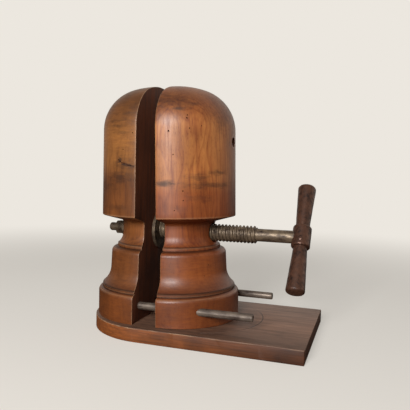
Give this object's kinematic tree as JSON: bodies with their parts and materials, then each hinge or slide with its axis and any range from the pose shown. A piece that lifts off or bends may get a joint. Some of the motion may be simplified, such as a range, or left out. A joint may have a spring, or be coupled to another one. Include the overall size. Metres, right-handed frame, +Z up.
{
  "type": "wooden hat form",
  "caption": "Domed wooden hat form split in two halves on a board; a hand screw slides one half out along guide rods.",
  "frame": {"origin": "on the board's underside, straight below the point where the screw's line crosses the fixed half's sawn face", "axes": "+X along the screw to the handle, +Y to the back, +Z up"},
  "size_m": [0.3085, 0.19, 0.3351],
  "materials": {
    "form_wood": "old oiled and waxed hardwood, worn",
    "board_wood": "old planed hardwood, worn",
    "rod_steel": "bright steel bar, dulled",
    "plate_iron": "blackened iron",
    "screw_steel": "cut steel with old grease",
    "handle_iron": "brown patinated iron, handled smooth",
    "fastener_steel": "aged steel"
  },
  "bodies": {
    "base": {"base_board": "board_wood", "fixed_half": "form_wood", "front_guide_rod": "rod_steel", "rear_guide_rod": "rod_steel", "thrust_plate": "plate_iron", "thrust_plate_screws": "fastener_steel", "board_screws": "fastener_steel"},
    "moving_form": {"moving_half": "form_wood", "screw_nut": "plate_iron", "screw_nut_screws": "fastener_steel"},
    "hand_screw": {"lead_screw": "screw_steel", "tail_washer": "fastener_steel", "tail_nut": "fastener_steel", "handle_boss": "handle_iron", "upper_grip": "handle_iron", "lower_grip": "handle_iron", "cross_pin": "fastener_steel"}
  },
  "joints": [
    {"name": "form_slide", "type": "slide", "parent": "base", "child": "moving_form", "axis": [1, 0, 0], "range_m": [-0.0241, 0.0361]},
    {"name": "screw_turn", "type": "hinge", "parent": "base", "child": "hand_screw", "pos_m": [0, 0, 0.1352], "axis": [1, 0, 0], "range_deg": [-2592, 1728]}
  ],
  "couplings": [
    {"joint": "form_slide", "follows": "screw_turn", "m_per_rad": -0.00079577}
  ]
}
